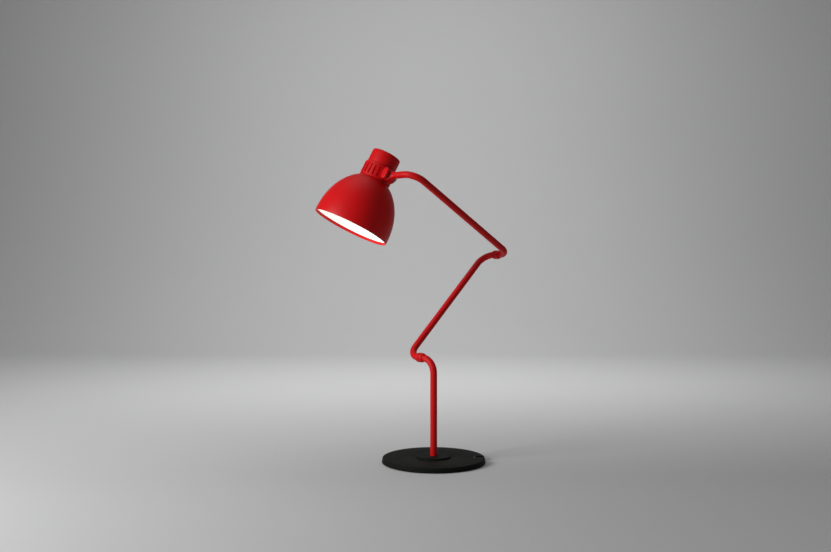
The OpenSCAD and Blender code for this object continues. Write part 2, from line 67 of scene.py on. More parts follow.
camera = bpy.data.objects.new("camera", bpy.data.cameras.new("camera"))
bpy.context.scene.collection.objects.link(camera)
camera.location = CAMERA_PLACE
camera.rotation_euler = (math.radians(90 - CAMERA_DOWN), 0, math.radians(CAMERA_HEADING))
camera.data.sensor_width = 36
camera.data.lens = CAMERA_LENS
camera.data.clip_start, camera.data.clip_end = 0.05, 50
bpy.context.scene.camera = camera
bpy.context.scene.view_settings.view_transform = "Standard"
print("camera at", CAMERA_PLACE, "with a", CAMERA_LENS, "mm lens")

# %% [markdown]
# ## Colours and nodes
# Paint makers and screens give a colour as an sRGB hex code, but a shader wants linear light. One
# function turns every code. One more function adds any node with its settings and its links, so
# each material reads as a list of nodes from the pattern to the shader.

# %% Colour and node helpers
def linear(hex_code):
    """The linear RGBA colour of an sRGB hex code such as "c4161c"."""
    channels = [int(hex_code[i:i + 2], 16) / 255 for i in (0, 2, 4)]
    return [c / 12.92 if c <= 0.04045 else ((c + 0.055) / 1.055) ** 2.4 for c in channels] + [1.0]


def add_node(tree, kind, settings=None, values=None, links=None):
    """Adds a node: settings are its properties, values go on its inputs, links are {input: output}."""
    node = tree.nodes.new(kind)
    for key, value in (settings or {}).items():
        setattr(node, key, value)
    for key, value in (values or {}).items():
        node.inputs[key].default_value = value
    for key, output in (links or {}).items():
        tree.links.new(output, node.inputs[key])
    return node


# %% [markdown]
# ## Floor and light
# A pale floor sweeps up behind the lamp into a plain backdrop, so no edge of a room shows. The key, a
# soft box, stands on the left in front of the lamp, so its right sides fall into deep shade. A weak one
# overhead makes the contact shadow, and a third hangs behind the lamp and faces the backdrop.

# %% Sweep, lights and air
FLOOR_HALF = 6.0
SWEEP_START = 2.2
SWEEP_RADIUS = 1.5
SWEEP_TOP = 5.0


def in_view(right, away, up):
    """A point given by how far right of, behind and above the base the camera sees it."""
    turn = math.radians(CAMERA_HEADING)
    x = right * math.cos(turn) - away * math.sin(turn)
    y = right * math.sin(turn) + away * math.cos(turn)
    return Vector((x, y, up))


def area_light(name, place, aim, size, power):
    """A square area light at place, facing aim."""
    light = bpy.data.lights.new(name, "AREA")
    light.size = size
    light.energy = power
    thing = bpy.data.objects.new(name, light)
    bpy.context.scene.collection.objects.link(thing)
    thing.location = place
    thing.rotation_euler = (Vector(aim) - Vector(place)).to_track_quat("-Z", "Y").to_euler()


sweep_line = [(-FLOOR_HALF, 0), (SWEEP_START, 0)]
for step in range(1, 17):
    angle = math.radians(90 * step / 16)
    sweep_line.append((SWEEP_START + SWEEP_RADIUS * math.sin(angle), SWEEP_RADIUS * (1 - math.cos(angle))))
sweep_line.append((SWEEP_START + SWEEP_RADIUS, SWEEP_TOP))
sweep_points = [in_view(side * FLOOR_HALF, away, up) for away, up in sweep_line for side in (-1, 1)]
sweep_faces = [(2 * i, 2 * i + 1, 2 * i + 3, 2 * i + 2) for i in range(len(sweep_line) - 1)]
sweep_mesh = bpy.data.meshes.new("sweep")
sweep_mesh.from_pydata(sweep_points, [], sweep_faces)
sweep_mesh.shade_smooth()
sweep = bpy.data.objects.new("sweep", sweep_mesh)
bpy.context.scene.collection.objects.link(sweep)

area_light("key", in_view(-1.75, -0.95, 0.95), (0, 0, 0.42), 0.8, 33)
area_light("top", in_view(-0.2, 0.3, 2.6), (0, 0, 0.1), 1.6, 8)
area_light("backdrop_glow", in_view(0, 1.0, 1.9), in_view(0, 3.7, 0.3), 1.8, 38)

world = bpy.data.worlds.new("studio")
bpy.context.scene.world = world
world.use_nodes = True
world.node_tree.nodes["Background"].inputs["Color"].default_value = linear("bfc0c2")
world.node_tree.nodes["Background"].inputs["Strength"].default_value = 0.26
print("sweep, lights and air made")

# %% [markdown]
# ## Finishes
# Each material starts from what the real one is and how its surface was made. The patterns read
# Object coordinates, which are in metres here, so a noise scale of 1000 is a grain of a millimetre.
# The patterns move roughness and bump more than colour, as on real paint and metal.

# %% A material to start from
def start_material(name, **values):
    """A material with a Principled shader whose uniform values are set on its own sockets."""
    material = bpy.data.materials.new(name)
    material.use_nodes = True
    shader = material.node_tree.nodes["Principled BSDF"]
    for key, value in values.items():
        shader.inputs[key.replace("_", " ")].default_value = value
    return material, material.node_tree, shader


def patterned(name, dark, light, grain_mm, rough, depth_mm, cloud_mm=60, **values):
    """A finish whose colour drifts between two codes over cloud_mm, and whose gloss and
    height vary at grain_mm. rough is the lowest and highest roughness."""
    material, tree, shader = start_material(name, **values)
    place = add_node(tree, "ShaderNodeTexCoord").outputs["Object"]
    cloud = add_node(tree, "ShaderNodeTexNoise", values={"Scale": 1 / (cloud_mm * MM), "Detail": 3.0},
                     links={"Vector": place})
    grain = add_node(tree, "ShaderNodeTexNoise", values={"Scale": 1 / (grain_mm * MM), "Detail": 2.0},
                     links={"Vector": place})
    tint = add_node(tree, "ShaderNodeMix", {"data_type": "RGBA"}, {6: linear(dark), 7: linear(light)},
                    {0: cloud.outputs["Fac"]})
    gloss = add_node(tree, "ShaderNodeMapRange", None, {"To Min": rough[0], "To Max": rough[1]},
                     {"Value": grain.outputs["Fac"]})
    relief = add_node(tree, "ShaderNodeBump", None, {"Distance": depth_mm * MM, "Strength": 0.5},
                      {"Height": grain.outputs["Fac"]})
    tree.links.new(tint.outputs[2], shader.inputs["Base Color"])
    tree.links.new(gloss.outputs[0], shader.inputs["Roughness"])
    tree.links.new(relief.outputs[0], shader.inputs["Normal"])
    return material


# %% [markdown]
# ### Red powder coat
# The tubes and the shade are steel, sprayed with polyester powder and baked. The powder melts into an
# even satin skin with a faint orange peel of two millimetres. Its highlights are weak and broad, so the
# red stays deep.

# %% Red powder coat
def red_powder_coat():
    return patterned("satin_red_powder_coat", "c9070c", "d30a10", 2.2, (0.44, 0.52), 0.002,
                     IOR=1.5, Specular_IOR_Level=0.2)


# %% [markdown]
# ### Black stove enamel on cast iron
# The base is cast in sand and dipped in a crackle enamel. The grit of the casting shows through as a
# fine tooth, drawn at 1.6 mm, coarser than the 0.8 mm that is usual, so that it shows. It is nearly
# black and dry, with very little glint.

# %% Black stove enamel
def black_stove_enamel():
    return patterned("textured_black_stove_enamel", "0c0f0b", "141710", 1.6, (0.6, 0.85), 0.3,
                     cloud_mm=35, IOR=1.5, Specular_IOR_Level=0.12)


# %% [markdown]
# ### White enamel and a lit bulb
# The inside of the shade is stoved gloss white. The frosted bulb is lit, and its glass glows evenly. The
# enamel also gets a little painted glow, which stands for the light that goes back and forth inside the
# shade, and keeps the bulb itself weak enough for the red lip to stay red.

# %% White enamel and opal glass
# The enamel's glow is painted bounce light, because the liner is no lamp.
PAINTED_BOUNCE_GLOW = 0.3
BULB_GLOW = 0.8


# White enamel with a painted glow that stands for the light bouncing inside the shade.
def white_enamel():
    return patterned("white_stove_enamel", "f6f5f0", "fbfaf6", 3.0, (0.3, 0.38), 0.003, IOR=1.5,
                     Emission_Color=linear("ffffff"), Emission_Strength=PAINTED_BOUNCE_GLOW)


def opal_glass():
    return patterned("frosted_bulb_glass", "fffaf0", "fffdf8", 4.0, (0.3, 0.4), 0.002, IOR=1.5,
                     Emission_Color=linear("fff8ec"), Emission_Strength=BULB_GLOW)


# %% [markdown]
# ### Small parts
# Rubber, nylon, fibre and phenolic pieces come from a mould, which leaves a fine even grain. Screws,
# pins and springs are zinc plated, and the bulb's cap and contacts are pressed from bare metal.
# A metal keeps the default IOR, and its colour is its reflection.

# %% Every finish by its slot
FINISHES = {
    "red_paint": red_powder_coat(),
    "black_casting": black_stove_enamel(),
    "rubber_pad": patterned("ribbed_sheet_rubber", "191a19", "242524", 1.2, (0.78, 0.9), 0.05, IOR=1.52),
    "rubber_gland": patterned("moulded_black_rubber", "101110", "191a19", 1.0, (0.6, 0.75), 0.02, IOR=1.52),
    "steel": patterned("zinc_plated_steel", "a7abad", "c6c9cb", 0.8, (0.24, 0.42), 0.01, Metallic=1.0),
    "nylon": patterned("natural_nylon", "dcd7c8", "eae6da", 1.5, (0.42, 0.55), 0.01, IOR=1.53),
    "fibre": patterned("black_vulcanised_fibre", "1b1a19", "2a2827", 0.9, (0.7, 0.88), 0.03),
    "wire": patterned("black_pvc_lead", "141414", "1f1f1f", 1.5, (0.42, 0.55), 0.01, IOR=1.53),
    "white_enamel": white_enamel(),
    "holder_black": patterned("black_phenolic_moulding", "14110f", "211d1a", 1.2, (0.34, 0.48), 0.01,
                              IOR=1.6),
    "brass": patterned("stamped_brass", "c0964a", "d9b768", 0.9, (0.22, 0.36), 0.01, Metallic=1.0),
    "bulb_glass": opal_glass(),
    "bulb_metal": patterned("pressed_aluminium", "b9bbbd", "d4d6d8", 0.9, (0.2, 0.34), 0.01, Metallic=1.0),
}
for part in frame["record"]["subparts"]:
    mesh = nodes[part["node"]].data
    mesh.materials.clear()
    mesh.materials.append(FINISHES[part["material_slot"]])
sweep_mesh.materials.append(patterned("painted_studio_sweep", "c9c9c9", "cdcdcd", 6.0, (0.7, 0.8), 0.0,
                                      cloud_mm=900, Specular_IOR_Level=0.1))
print(len(FINISHES), "finishes on", len(nodes), "nodes")

# %% [markdown]
# ## From an outline to a piece
# Most of this lamp is turned: collars, cap, shade and base are outlines spun about an axis. An
# outline is a short list of corners, each with the radius that a tool or the paint would leave on
# it, because a real edge is never sharp and the light shows it. Every mesh then has its doubles
# merged and its faces turned outwards, and is put in its place, so its object stays at the origin.

# %% Outlines, turned and lofted meshes
SHARP_ANGLE = math.radians(32)
MERGE = 1e-6


def soft_line(corners, steps=4):
    """A closed outline in millimetres with its corners rounded: each is (across, along, radius)."""
    line = []
    for i, (across, along, radius) in enumerate(corners):
        here = Vector((across, along))
        if radius == 0:
            line.append(here)
            continue
        before = Vector(corners[i - 1][:2]) - here
        after = Vector(corners[(i + 1) % len(corners)][:2]) - here
        start = here + before.normalized() * radius
        end = here + after.normalized() * radius
        for k in range(steps + 1):
            t = k / steps
            line.append(start * (1 - t) ** 2 + here * 2 * t * (1 - t) + end * t ** 2)
    return line


def settled(work, name, place=Matrix()):
    """Ends a mesh in the making: merged, facing outwards, in its place, and smooth but for its edges."""
    bmesh.ops.remove_doubles(work, verts=work.verts, dist=MERGE)
    bmesh.ops.recalc_face_normals(work, faces=work.faces)
    bmesh.ops.transform(work, matrix=place, verts=work.verts)
    mesh = bpy.data.meshes.new(name)
    work.to_mesh(mesh)
    work.free()
    mesh.shade_smooth()
    mesh.set_sharp_from_angle(angle=SHARP_ANGLE)
    return mesh


def turned(line, name, place=Matrix(), count=96):
    """A closed mesh: an outline of (radius, height) in millimetres, spun about Z."""
    work = bmesh.new()
    points = [work.verts.new((p[0] * MM, 0, p[1] * MM)) for p in line]
    ends_on_axis = line[0][0] == 0 and line[-1][0] == 0
    pairs = list(zip(points, points[1:])) if ends_on_axis else list(zip(points, points[1:] + points[:1]))
    edges = [work.edges.new(pair) for pair in pairs]
    bmesh.ops.spin(work, geom=points + edges, cent=(0, 0, 0), axis=(0, 0, 1), angle=math.tau,
                   steps=count, use_merge=True)
    return settled(work, name, place)


def lofted(sections, name, place=Matrix()):
    """A closed mesh through sections of equally many points, in millimetres, capped at both ends."""
    work = bmesh.new()
    rings = [[work.verts.new(Vector(point) * MM) for point in section] for section in sections]
    for low, high in zip(rings, rings[1:]):
        for i in range(len(low)):
            work.faces.new((low[i - 1], low[i], high[i], high[i - 1]))
    work.faces.new(rings[0])
    work.faces.new(reversed(rings[-1]))
    return settled(work, name, place)


def placed(mesh, name, place=Matrix()):
    """A mesh that a tree or a modifier made, settled in its place."""
    work = bmesh.new()
    work.from_mesh(mesh)
    return settled(work, name, place)


# %% [markdown]
# ## Trees, cuts and pieces
# A modifier or a Geometry Nodes tree works on an object, so a scratch object carries the mesh, the
# evaluated result is taken off it as a plain mesh, and the scratch object goes. What is left is one
# plain mesh for each piece, which then gets its finish, the body that it rides on, and the CAD nodes
# that it stands for.

# %% Scratch objects, trees and pieces
def result_of(mesh, add_modifiers):
    """The plain mesh that is left when add_modifiers(object) has put modifiers on a mesh."""
    thing = bpy.data.objects.new("scratch", mesh)
    bpy.context.scene.collection.objects.link(thing)
    add_modifiers(thing)
    graph = bpy.context.evaluated_depsgraph_get()
    made = bpy.data.meshes.new_from_object(thing.evaluated_get(graph))
    bpy.data.objects.remove(thing)
    return made


def combined(mesh, tool, how):
    """A closed mesh joined to ("UNION") or cut by ("DIFFERENCE") another."""
    cutter = bpy.data.objects.new("cutter", tool)
    bpy.context.scene.collection.objects.link(cutter)

    def add_boolean(thing):
        modifier = thing.modifiers.new("combine", "BOOLEAN")
        modifier.operation = how
        modifier.solver = "EXACT"
        modifier.object = cutter

    made = result_of(mesh, add_boolean)
    bpy.data.objects.remove(cutter)
    return made


def edges_eased(mesh, width_mm):
    """The same mesh with its sharp edges rounded, as paint and tumbling leave them."""
    def add_bevel(thing):
        modifier = thing.modifiers.new("ease", "BEVEL")
        modifier.width = width_mm * MM
        modifier.segments = 2
        modifier.limit_method = "ANGLE"
        modifier.angle_limit = SHARP_ANGLE
        modifier.use_clamp_overlap = True

    return result_of(mesh, add_bevel)


def start_tree(name, sizes):
    """A Geometry Nodes tree that takes a mesh, the named sizes and a finish."""
    tree = bpy.data.node_groups.new(name, "GeometryNodeTree")
    tree.interface.new_socket("Mesh", in_out="INPUT", socket_type="NodeSocketGeometry")
    for label, value in sizes.items():
        kind = "NodeSocketInt" if isinstance(value, int) else "NodeSocketFloat"
        tree.interface.new_socket(label, in_out="INPUT", socket_type=kind).default_value = value
    tree.interface.new_socket("Finish", in_out="INPUT", socket_type="NodeSocketMaterial")
    tree.interface.new_socket("Mesh", in_out="OUTPUT", socket_type="NodeSocketGeometry")
    return tree, add_node(tree, "NodeGroupInput").outputs


def end_tree(tree, given, geometry):
    """Makes the result real, gives it its finish and sends it out."""
    whole = add_node(tree, "GeometryNodeRealizeInstances", links={"Geometry": geometry})
    finish = add_node(tree, "GeometryNodeSetMaterial",
                      links={"Geometry": whole.outputs[0], "Material": given["Finish"]})
    add_node(tree, "NodeGroupOutput", links={"Mesh": finish.outputs[0]})


def grown(tree, mesh, **inputs):
    """The plain mesh that a tree makes of a mesh, with inputs by name."""
    def add_tree(thing):
        modifier = thing.modifiers.new(tree.name, "NODES")
        modifier.node_group = tree
        for item in tree.interface.items_tree:
            key = item.name.replace(" ", "_")
            if item.in_out == "INPUT" and key in inputs:
                modifier[item.identifier] = inputs[key]

    return result_of(mesh, add_tree)


def piece(name, mesh, body, slot, *stands_for):
    """Links a finished mesh as a piece: its finish, its body and the CAD nodes it stands for."""
    mesh.materials.clear()
    mesh.materials.append(FINISHES[slot])
    thing = bpy.data.objects.new(name, mesh)
    bpy.context.scene.collection.objects.link(thing)
    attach(thing, body)
    if stands_for:
        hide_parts(*stands_for)
    print(name, len(mesh.polygons), "faces, rides on", body)
    return thing


# %% [markdown]
# ## Bent tubes
# The post and the arms are 14 mm steel tube, bent in a tube bender to a 30 mm radius, so each one
# is a straight-cornered path with its corners filleted and a circle swept along it. That is a rule,
# and a Geometry Nodes tree holds it well: Mesh to Curve, Fillet Curve, Curve to Mesh. The corners
# come from the joints' own places, and the bend and the tube are sizes on the tree.

# %% The tube tree
TUBE_RADIUS = 7.0
BEND_RADIUS = 30.0
TUBE_SIDES = 48
BEND_STEPS = 20
COLLAR_WEB = 3.8
POST_FOOT = 6.0
ARM_OFFSET = joints["lower_hinge"]["pos_m"][1]

tube_tree, given = start_tree("bent_tube", {
    "Tube radius": TUBE_RADIUS * MM, "Bend radius": BEND_RADIUS * MM,
    "Sides": TUBE_SIDES, "Bend steps": BEND_STEPS,
})
path = add_node(tube_tree, "GeometryNodeMeshToCurve", links={"Mesh": given["Mesh"]})
bent = add_node(tube_tree, "GeometryNodeFilletCurve", {"mode": "POLY"}, {"Limit Radius": True},
                {"Curve": path.outputs[0], "Radius": given["Bend radius"], "Count": given["Bend steps"]})
section = add_node(tube_tree, "GeometryNodeCurvePrimitiveCircle",
                   links={"Resolution": given["Sides"], "Radius": given["Tube radius"]})
swept = add_node(tube_tree, "GeometryNodeCurveToMesh", None, {"Fill Caps": True},
                 {"Curve": bent.outputs[0], "Profile Curve": section.outputs[0]})
end_tree(tube_tree, given, swept.outputs[0])
print("tube tree:", len(tube_tree.nodes), "nodes")

# %% [markdown]
# ### The three paths
# The post stands up and bends over to the lower hinge. Each arm starts on a hinge's axis, bends away
# to one side, runs straight, and bends back onto the next axis. So neighbours lie side by side in
# offset planes, and can fold past each other.

# %% Post and arms
def tube(name, corners, body, *stands_for):
    """A bent tube through corners, in metres."""
    line = bpy.data.meshes.new(name + "_path")
    line.from_pydata(corners, [(i, i + 1) for i in range(len(corners) - 1)], [])
    mesh = grown(tube_tree, line, Finish=FINISHES["red_paint"])
    piece(name, placed(mesh, name), body, "red_paint", *stands_for)


lower_hinge = Vector(joints["lower_hinge"]["pos_m"])
upper_hinge = Vector(joints["upper_hinge"]["pos_m"])
head_seam = Vector(joints["head_swivel"]["pos_m"])
side = Vector((0, ARM_OFFSET, 0))
web = Vector((0, COLLAR_WEB * MM, 0))

tube("post", [Vector((0, 0, POST_FOOT * MM)), lower_hinge - side, lower_hinge - web], "post", "post_tube")
tube("lower_arm", [lower_hinge + web, lower_hinge + side, upper_hinge + side, upper_hinge + web],
     "lower_arm", "lower_arm_tube")
tube("upper_arm", [upper_hinge - web, upper_hinge - side, Vector((head_seam.x, 0, head_seam.z)), head_seam],
     "upper_arm", "upper_arm_tube")

# %% [markdown]
# ## Hinge collars
# Where two tube ends meet, each is welded into a turned collar, and a hollow bolt ties the pair
# together so that the lead can run through. A collar is a short barrel: a crisp face at the seam, and
# a long shoulder down to the tube where the weld was dressed. It is turned from one outline.

# %% Four collars
COLLAR_RADIUS = 9.75
COLLAR_LENGTH = 10.0
SEAM = 0.3
COLLAR_BORE = 5.2
SOCKET_DEPTH = 0.3
TO_PLUS_Y = Matrix.Rotation(math.radians(-90), 4, "X")
TO_MINUS_Y = Matrix.Rotation(math.radians(90), 4, "X")

collar_line = soft_line([
    (COLLAR_BORE, SEAM, 0), (COLLAR_RADIUS, SEAM, 0.7), (COLLAR_RADIUS, COLLAR_LENGTH - 3.4, 2.6),
    (TUBE_RADIUS + 0.3, COLLAR_LENGTH, 1.6), (TUBE_RADIUS - SOCKET_DEPTH, COLLAR_LENGTH, 0),
    (TUBE_RADIUS - SOCKET_DEPTH, COLLAR_WEB, 0), (COLLAR_BORE, COLLAR_WEB, 0),
])
for name, hinge, turn, body in (
    ("post_collar", lower_hinge, TO_MINUS_Y, "post"),
    ("lower_arm_near_collar", lower_hinge, TO_PLUS_Y, "lower_arm"),
    ("lower_arm_far_collar", upper_hinge, TO_PLUS_Y, "lower_arm"),
    ("upper_arm_collar", upper_hinge, TO_MINUS_Y, "upper_arm"),
):
    mesh = turned(collar_line, name, Matrix.Translation(hinge) @ turn, 72)
    piece(name + "_turned", mesh, body, "red_paint", name)

# %% [markdown]
# ## Base
# The base is one heavy iron casting, drafted at the rim so that it leaves the sand, with a cable
# notch cut in the rim and a raised hub screwed in the middle. The plate is turned, and the notch is
# a boolean cut with a bevel after it, because an outline can't hold a notch.

# %% Base plate with its notch
BASE_EDGE = 105.0
BASE_TOP = 10.5
PLATE_UNDER = 1.5
RECESS_RADIUS = 76.0
RECESS_ROOF = 5.2
CUP_HOLE = 22.2
RIM_DRAFT = 1.4
OUTLET_OVERRUN = 9.0
OUTLET_ANGLE = math.radians(-45)
OUTLET_INNER = 80.0
OUTLET_HALF = 8.0
OUTLET_FLOOR = 4.5

plate_mesh = turned(soft_line([
    (RECESS_RADIUS, PLATE_UNDER, 0), (BASE_EDGE - 0.1, PLATE_UNDER, 0.5),
    (BASE_EDGE - RIM_DRAFT, BASE_TOP, 1.3),
    (CUP_HOLE, BASE_TOP, 0), (CUP_HOLE, RECESS_ROOF, 0), (RECESS_RADIUS, RECESS_ROOF, 0),
]), "plate_blank", count=160)
notch_line = soft_line([
    (OUTLET_INNER, -OUTLET_HALF, 2.0), (BASE_EDGE + OUTLET_OVERRUN, -OUTLET_HALF, 0),
    (BASE_EDGE + OUTLET_OVERRUN, OUTLET_HALF, 0), (OUTLET_INNER, OUTLET_HALF, 2.0),
])
notch_mesh = lofted([[(p.x, p.y, z) for p in notch_line] for z in (OUTLET_FLOOR, BASE_TOP + 5)],
                    "notch", Matrix.Rotation(OUTLET_ANGLE, 4, "Z"))
plate_mesh = edges_eased(combined(plate_mesh, notch_mesh, "DIFFERENCE"), 0.35)
piece("base_casting", placed(plate_mesh, "base_casting"), "base", "black_casting", "base_plate")

# %% [markdown]
# ### Hub
# The hub is a low raised disc round the post. Its bore is stepped: the post's bush sits in the narrower
# step and the stop ring in the wider one below. It is turned from one outline, steps and all.

# %% Hub
HUB_RADIUS = 35.0
HUB_TOP = 14.0
POST_HOLE = 7.4
BUSH_HOLE = 9.0
BUSH_TOP = 12.8
STOP_HOLE = 15.2
STOP_TOP = 8.9
CUP_WALL = 22.0

hub_line = soft_line([
    (HUB_RADIUS, BASE_TOP, 0), (HUB_RADIUS - 0.3, HUB_TOP - 1.1, 0.8), (HUB_RADIUS - 2.2, HUB_TOP, 0.9),
    (POST_HOLE, HUB_TOP, 0.5), (POST_HOLE, BUSH_TOP, 0), (BUSH_HOLE, BUSH_TOP, 0), (BUSH_HOLE, STOP_TOP, 0),
    (STOP_HOLE, STOP_TOP, 0), (STOP_HOLE, RECESS_ROOF, 0), (CUP_WALL, RECESS_ROOF, 0),
    (CUP_WALL, BASE_TOP, 0),
])
piece("hub", turned(hub_line, "hub", count=128), "base", "black_casting", "base_hub")

# %% [markdown]
# ### Ribbed pad
# A rubber disc under the plate keeps the lamp from sliding. It is pressed with concentric ribs,
# which grip better than a flat sheet, so its outline is a comb of small steps.

# %% Pad with concentric ribs
PAD_RADIUS = 101.0
RIB_PITCH = 4.0
RIB_DEPTH = 0.45

pad_line = [(0, PLATE_UNDER), (PAD_RADIUS, PLATE_UNDER)]
for i in range(int(PAD_RADIUS / RIB_PITCH)):
    outer = PAD_RADIUS - i * RIB_PITCH
    pad_line += [(outer, 0.3), (outer - 0.3, 0), (outer - 2.0, 0), (outer - 2.4, RIB_DEPTH),
                 (outer - RIB_PITCH + 0.4, RIB_DEPTH)]
pad_line += [(0, RIB_DEPTH)]
piece("ribbed_pad", turned(pad_line, "ribbed_pad", count=128), "base", "rubber_pad", "base_pad")

# %% [markdown]
# ## The head's own frame
# The head is designed upright about its own axis and then hung on the pin. One matrix does that:
# move the pin to the origin, turn the head so that its knuckle faces the arm, tilt it, swivel it,
# and move it to the real pin. Every turned piece of the head uses it.

# %% Where the head hangs
PIN_ACROSS = 38.5
PIN_UP = 126.0
HEAD_TILT = 13.1

pin = Vector(joints["head_tilt"]["pos_m"])
pin_axis = joints["head_tilt"]["axis"]
swivel = math.atan2(-pin_axis[2], pin_axis[0])
knuckle_place = Matrix.Translation(pin) @ Matrix.Rotation(swivel, 4, "Y")
head_place = (knuckle_place @ Matrix.Rotation(math.radians(HEAD_TILT), 4, "X")
              @ Matrix.Rotation(math.radians(-90), 4, "Z")
              @ Matrix.Translation(Vector((-PIN_ACROSS, 0, -PIN_UP)) * MM))
upright = Vector((0, 0, 1))
lean = math.degrees((head_place.to_3x3() @ upright).angle(upright))
print("head axis leans", round(lean, 1), "degrees")

# %% [markdown]
# ## Shade and reflector
# The shade is spun from 0.9 mm steel sheet over a wooden former: half an ellipse that drops a little
# inwards from its waist to the rim. Its inside is a separate white liner, which stops 6 mm short
# of the rim, so a red band shows round the mouth. The formula gives the curve, and the edge is
# rounded as the spinner's roller leaves it.

# %% Shade and liner
SHADE_RADIUS = 80.5
WAIST_UP = 8.0
DOME_RISE = 109.5
SHEET = 0.9
LINER_GAP = 0.35
LINER_SHEET = 0.7
LINER_EDGE = 6.0
LINER_TOP = 104.0
NECK_RADIUS = 31.0
NECK_TOP = 113.0
DOME_STEPS = 44


def dome_point(up, depth):
    """The point of the dome at height up, depth inside its outer face."""
    if up < WAIST_UP:
        return (SHADE_RADIUS - depth - 0.4 * (WAIST_UP - up) / WAIST_UP, up)
    return ((SHADE_RADIUS - depth) * math.sqrt(1 - ((up - WAIST_UP) / (DOME_RISE - depth)) ** 2), up)


def dome_line(low, high, depth):
    """Points up the dome, closer together towards the top."""
    return [dome_point(low + (high - low) * math.sin(math.pi / 2 * i / DOME_STEPS), depth)
            for i in range(DOME_STEPS + 1)]


def dome_up(radius, depth):
    """The height at which that face has this radius."""
    return WAIST_UP + (DOME_RISE - depth) * math.sqrt(1 - (radius / (SHADE_RADIUS - depth)) ** 2)


neck_inner = NECK_RADIUS - 1.2
rim_outer = dome_point(0, 0)[0]
shade_line = (
    [(rim_outer - 0.7, 0.05), (rim_outer - 0.45, 0), (rim_outer - 0.12, 0.12)]
    + dome_line(0.45, dome_up(NECK_RADIUS, 0), 0)
    + [(NECK_RADIUS, NECK_TOP), (neck_inner, NECK_TOP)]
    + dome_line(0.3, dome_up(neck_inner, SHEET), SHEET)[::-1]
)
piece("spun_shade", turned(shade_line, "spun_shade", head_place, 160), "head", "red_paint", "shade")

liner_depth = SHEET + LINER_GAP
liner_line = (dome_line(LINER_EDGE, LINER_TOP, liner_depth)
              + dome_line(LINER_EDGE, LINER_TOP, liner_depth + LINER_SHEET)[::-1])
piece("white_liner", turned(liner_line, "white_liner", head_place, 128), "head", "white_enamel", "reflector")

# %% [markdown]
# ## Grooved ring
# A cast ring carries the shade, the cap and the knuckle. Its grooves vent the hot air and give grip,
# and they run from one side of the knuckle round to the other at an even pitch. The tree lays points
# along an arc, stands a round cutter on each, and takes them all from the ring in one boolean, so
# their number and size stay open until the end.

# %% The groove tree
RING_RADIUS = 33.5
RING_BORE = 29.5
RING_FOOT = 110.5
RING_TOP = 141.5
GROOVE_MIDDLE = 124.6
GROOVE_LENGTH = 21.6
GROOVE_COUNT = 18
GROOVE_RADIUS = 1.85
GROOVE_SET_IN = 0.5
GROOVE_START = math.radians(37)

groove_tree, given = start_tree("ring_grooves", {
    "Grooves": GROOVE_COUNT, "Start": GROOVE_START, "Sweep": math.tau - 2 * GROOVE_START,
    "Arc radius": (RING_RADIUS - GROOVE_SET_IN) * MM, "Cutter radius": GROOVE_RADIUS * MM,
    "Length": GROOVE_LENGTH * MM,
})
arc = add_node(groove_tree, "GeometryNodeCurveArc", {"mode": "RADIUS"}, {"Resolution": 128},
               {"Radius": given["Arc radius"], "Start Angle": given["Start"], "Sweep Angle": given["Sweep"]})
stops = add_node(groove_tree, "GeometryNodeCurveToPoints", {"mode": "COUNT"}, None,
                 {"Curve": arc.outputs[0], "Count": given["Grooves"]})
cutter = add_node(groove_tree, "GeometryNodeMeshCylinder", None, {"Vertices": 20},
                  {"Radius": given["Cutter radius"], "Depth": given["Length"]})
cutters = add_node(groove_tree, "GeometryNodeInstanceOnPoints",
                   links={"Points": stops.outputs[0], "Instance": cutter.outputs[0]})
real_cutters = add_node(groove_tree, "GeometryNodeRealizeInstances", links={"Geometry": cutters.outputs[0]})
cut_ring = add_node(groove_tree, "GeometryNodeMeshBoolean", {"operation": "DIFFERENCE", "solver": "EXACT"},
                    links={"Mesh 1": given["Mesh"], "Mesh 2": real_cutters.outputs[0]})
end_tree(groove_tree, given, cut_ring.outputs[0])
print("groove tree:", len(groove_tree.nodes), "nodes")

# %% [markdown]
# ### Ring and cheeks
# Two cheeks stand out of the ring and hold the pin of the knuckle. They are oval plates, joined to
# the ring's blank before the window for the knuckle, the pin's bore and the grooves are cut.

# %% Ring
CHEEK_INNER = 7.65
CHEEK_OUTER = 12.65
CHEEK_WIDTH = 16.0
CHEEK_LENGTH = 25.0
PIN_BORE = 4.05
EYE_RADIUS = 12.6
EYE_GAP = 0.8
ROOT_HALF = 10.5
RING_LIP = 31.1


def oval(width, length, inset, across, steps=12):
    """An upright oval about the pin, inset from its outline, at a distance across from the middle."""
    radius = width / 2 - inset
    rise = (length - width) / 2
    points = []
    for centre, start in ((rise, 0), (-rise, 180)):
        for k in range(steps + 1):
            angle = math.radians(start + 180 * k / steps)
            points.append((PIN_ACROSS + radius * math.cos(angle), across,
                           PIN_UP + centre + radius * math.sin(angle)))
    return points


def block(low, high, name):
    """A plain box between two corners, in millimetres."""
    corners = [(low[0], low[1]), (high[0], low[1]), (high[0], high[1]), (low[0], high[1])]
    return lofted([[(x, y, z) for x, y in corners] for z in (low[2], high[2])], name)


